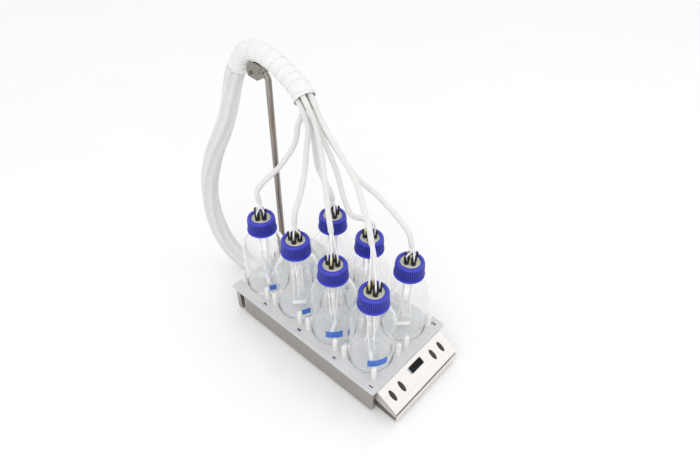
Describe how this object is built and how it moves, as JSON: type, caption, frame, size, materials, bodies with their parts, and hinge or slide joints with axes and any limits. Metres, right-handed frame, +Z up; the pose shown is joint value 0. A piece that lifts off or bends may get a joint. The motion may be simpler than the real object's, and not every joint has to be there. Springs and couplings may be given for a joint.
{
  "type": "multi-position magnetic stirrer with bottles",
  "caption": "Flat stirring platform with rows of pegs holding screw-capped glass bottles, a sloping key console and a rod that carries a wrapped tube bundle.",
  "frame": {"origin": "centre of the footprint, at the level the feet stand on, without the free tube bundle and its connector", "axes": "+Z up, -Y towards the sloping key console, +X to the right of someone facing the console from the front"},
  "size_m": [0.216, 0.6138, 0.53],
  "materials": {
    "steel": "warm-toned brushed stainless sheet",
    "plate": "satin light grey plate with white pegs",
    "dark_steel": "dark grey blasted metal",
    "black_plastic": "black moulded",
    "white_plastic": "white moulded",
    "rubber": "matt black rubber",
    "board": "green circuit board",
    "glass": "clear borosilicate glass",
    "cap_plastic": "royal blue ribbed polypropylene, semi-gloss",
    "insert": "beige machined plastic with black fittings",
    "ptfe": "white fluoropolymer",
    "tube": "translucent white polyethylene"
  },
  "bodies": {
    "stirrer": {"base_housing": "steel", "foot_1": "rubber", "foot_2": "rubber", "foot_3": "rubber", "foot_4": "rubber", "rear_frame": "steel", "rack_plate": "plate", "coil_board": "board", "control_board": "board", "console_shell": "steel", "console_faceplate": "steel", "key_board": "board", "display_window": "black_plastic", "rod_bracket": "dark_steel", "bracket_screw": "black_plastic", "support_rod": "steel", "cradle_block": "dark_steel", "cradle_screw": "steel", "spiral_wrap": "tube", "sleeve_1": "tube", "sleeve_2": "tube", "sleeve_3": "tube", "sleeve_4": "tube", "sleeve_5": "tube", "sleeve_6": "tube", "sleeve_7": "tube", "rear_trunk": "tube", "bundle_connector": "white_plastic"},
    "key_1": {"key_1": "black_plastic"},
    "key_2": {"key_2": "black_plastic"},
    "key_3": {"key_3": "black_plastic"},
    "key_4": {"key_4": "black_plastic"},
    "bottle_1": {"bottle_1": "glass"},
    "insert_1": {"port_insert_1": "insert"},
    "cap_1": {"cap_1": "cap_plastic"},
    "stir_bar_1": {"stir_bar_1": "ptfe"},
    "bottle_2": {"bottle_2": "glass"},
    "insert_2": {"port_insert_2": "insert"},
    "cap_2": {"cap_2": "cap_plastic"},
    "stir_bar_2": {"stir_bar_2": "ptfe"},
    "bottle_3": {"bottle_3": "glass"},
    "insert_3": {"port_insert_3": "insert"},
    "cap_3": {"cap_3": "cap_plastic"},
    "stir_bar_3": {"stir_bar_3": "ptfe"},
    "bottle_4": {"bottle_4": "glass"},
    "insert_4": {"port_insert_4": "insert"},
    "cap_4": {"cap_4": "cap_plastic"},
    "stir_bar_4": {"stir_bar_4": "ptfe"},
    "bottle_5": {"bottle_5": "glass"},
    "insert_5": {"port_insert_5": "insert"},
    "cap_5": {"cap_5": "cap_plastic"},
    "stir_bar_5": {"stir_bar_5": "ptfe"},
    "bottle_6": {"bottle_6": "glass"},
    "insert_6": {"port_insert_6": "insert"},
    "cap_6": {"cap_6": "cap_plastic"},
    "stir_bar_6": {"stir_bar_6": "ptfe"},
    "bottle_7": {"bottle_7": "glass"},
    "insert_7": {"port_insert_7": "insert"},
    "cap_7": {"cap_7": "cap_plastic"},
    "stir_bar_7": {"stir_bar_7": "ptfe"}
  },
  "joints": [
    {"name": "key_1_press", "type": "slide", "parent": "stirrer", "child": "key_1", "axis": [0, 0.4706, -0.8824], "range_m": [0, 0.0008], "stiffness_N_per_m": 1500},
    {"name": "key_2_press", "type": "slide", "parent": "stirrer", "child": "key_2", "axis": [0, 0.4706, -0.8824], "range_m": [0, 0.0008], "stiffness_N_per_m": 1500},
    {"name": "key_3_press", "type": "slide", "parent": "stirrer", "child": "key_3", "axis": [0, 0.4706, -0.8824], "range_m": [0, 0.0008], "stiffness_N_per_m": 1500},
    {"name": "key_4_press", "type": "slide", "parent": "stirrer", "child": "key_4", "axis": [0, 0.4706, -0.8824], "range_m": [0, 0.0008], "stiffness_N_per_m": 1500},
    {"name": "bottle_1_lift", "type": "slide", "parent": "stirrer", "child": "bottle_1", "axis": [0, 0, 1], "range_m": [0, 0.036], "deforming": ["sleeve_1"]},
    {"name": "insert_1_rise", "type": "slide", "parent": "bottle_1", "child": "insert_1", "axis": [0, 0, 1], "range_m": [0, 0.0061]},
    {"name": "cap_1_turn", "type": "hinge", "parent": "insert_1", "child": "cap_1", "pos_m": [-0.049, -0.16941, 0.223], "axis": [0, 0, 1], "range_deg": [0, 540]},
    {"name": "stir_bar_1_spin", "type": "hinge", "parent": "bottle_1", "child": "stir_bar_1", "pos_m": [-0.049, -0.16941, 0.0711], "axis": [0, 0, 1], "continuous": true},
    {"name": "bottle_2_lift", "type": "slide", "parent": "stirrer", "child": "bottle_2", "axis": [0, 0, 1], "range_m": [0, 0.036], "deforming": ["sleeve_2"]},
    {"name": "insert_2_rise", "type": "slide", "parent": "bottle_2", "child": "insert_2", "axis": [0, 0, 1], "range_m": [0, 0.0061]},
    {"name": "cap_2_turn", "type": "hinge", "parent": "insert_2", "child": "cap_2", "pos_m": [0.049, -0.16941, 0.223], "axis": [0, 0, 1], "range_deg": [0, 540]},
    {"name": "stir_bar_2_spin", "type": "hinge", "parent": "bottle_2", "child": "stir_bar_2", "pos_m": [0.049, -0.16941, 0.0711], "axis": [0, 0, 1], "continuous": true},
    {"name": "bottle_3_lift", "type": "slide", "parent": "stirrer", "child": "bottle_3", "axis": [0, 0, 1], "range_m": [0, 0.036], "deforming": ["sleeve_3"]},
    {"name": "insert_3_rise", "type": "slide", "parent": "bottle_3", "child": "insert_3", "axis": [0, 0, 1], "range_m": [0, 0.0061]},
    {"name": "cap_3_turn", "type": "hinge", "parent": "insert_3", "child": "cap_3", "pos_m": [-0.049, -0.07541, 0.223], "axis": [0, 0, 1], "range_deg": [0, 540]},
    {"name": "stir_bar_3_spin", "type": "hinge", "parent": "bottle_3", "child": "stir_bar_3", "pos_m": [-0.049, -0.07541, 0.0711], "axis": [0, 0, 1], "continuous": true},
    {"name": "bottle_4_lift", "type": "slide", "parent": "stirrer", "child": "bottle_4", "axis": [0, 0, 1], "range_m": [0, 0.036], "deforming": ["sleeve_4"]},
    {"name": "insert_4_rise", "type": "slide", "parent": "bottle_4", "child": "insert_4", "axis": [0, 0, 1], "range_m": [0, 0.0061]},
    {"name": "cap_4_turn", "type": "hinge", "parent": "insert_4", "child": "cap_4", "pos_m": [0.049, -0.07541, 0.223], "axis": [0, 0, 1], "range_deg": [0, 540]},
    {"name": "stir_bar_4_spin", "type": "hinge", "parent": "bottle_4", "child": "stir_bar_4", "pos_m": [0.049, -0.07541, 0.0711], "axis": [0, 0, 1], "continuous": true},
    {"name": "bottle_5_lift", "type": "slide", "parent": "stirrer", "child": "bottle_5", "axis": [0, 0, 1], "range_m": [0, 0.036], "deforming": ["sleeve_5"]},
    {"name": "insert_5_rise", "type": "slide", "parent": "bottle_5", "child": "insert_5", "axis": [0, 0, 1], "range_m": [0, 0.0061]},
    {"name": "cap_5_turn", "type": "hinge", "parent": "insert_5", "child": "cap_5", "pos_m": [-0.049, 0.01859, 0.223], "axis": [0, 0, 1], "range_deg": [0, 540]},
    {"name": "stir_bar_5_spin", "type": "hinge", "parent": "bottle_5", "child": "stir_bar_5", "pos_m": [-0.049, 0.01859, 0.0711], "axis": [0, 0, 1], "continuous": true},
    {"name": "bottle_6_lift", "type": "slide", "parent": "stirrer", "child": "bottle_6", "axis": [0, 0, 1], "range_m": [0, 0.036], "deforming": ["sleeve_6"]},
    {"name": "insert_6_rise", "type": "slide", "parent": "bottle_6", "child": "insert_6", "axis": [0, 0, 1], "range_m": [0, 0.0061]},
    {"name": "cap_6_turn", "type": "hinge", "parent": "insert_6", "child": "cap_6", "pos_m": [0.049, 0.01859, 0.223], "axis": [0, 0, 1], "range_deg": [0, 540]},
    {"name": "stir_bar_6_spin", "type": "hinge", "parent": "bottle_6", "child": "stir_bar_6", "pos_m": [0.049, 0.01859, 0.0711], "axis": [0, 0, 1], "continuous": true},
    {"name": "bottle_7_lift", "type": "slide", "parent": "stirrer", "child": "bottle_7", "axis": [0, 0, 1], "range_m": [0, 0.036], "deforming": ["sleeve_7"]},
    {"name": "insert_7_rise", "type": "slide", "parent": "bottle_7", "child": "insert_7", "axis": [0, 0, 1], "range_m": [0, 0.0061]},
    {"name": "cap_7_turn", "type": "hinge", "parent": "insert_7", "child": "cap_7", "pos_m": [-0.049, 0.11259, 0.223], "axis": [0, 0, 1], "range_deg": [0, 540]},
    {"name": "stir_bar_7_spin", "type": "hinge", "parent": "bottle_7", "child": "stir_bar_7", "pos_m": [-0.049, 0.11259, 0.0711], "axis": [0, 0, 1], "continuous": true}
  ],
  "couplings": [
    {"joint": "insert_1_rise", "follows": "cap_1_turn", "m_per_rad": 0.0006366},
    {"joint": "insert_2_rise", "follows": "cap_2_turn", "m_per_rad": 0.0006366},
    {"joint": "insert_3_rise", "follows": "cap_3_turn", "m_per_rad": 0.0006366},
    {"joint": "insert_4_rise", "follows": "cap_4_turn", "m_per_rad": 0.0006366},
    {"joint": "insert_5_rise", "follows": "cap_5_turn", "m_per_rad": 0.0006366},
    {"joint": "insert_6_rise", "follows": "cap_6_turn", "m_per_rad": 0.0006366},
    {"joint": "insert_7_rise", "follows": "cap_7_turn", "m_per_rad": 0.0006366},
    {"joint": "stir_bar_2_spin", "follows": "stir_bar_1_spin", "ratio": 1},
    {"joint": "stir_bar_3_spin", "follows": "stir_bar_1_spin", "ratio": 1},
    {"joint": "stir_bar_4_spin", "follows": "stir_bar_1_spin", "ratio": 1},
    {"joint": "stir_bar_5_spin", "follows": "stir_bar_1_spin", "ratio": 1},
    {"joint": "stir_bar_6_spin", "follows": "stir_bar_1_spin", "ratio": 1},
    {"joint": "stir_bar_7_spin", "follows": "stir_bar_1_spin", "ratio": 1}
  ]
}
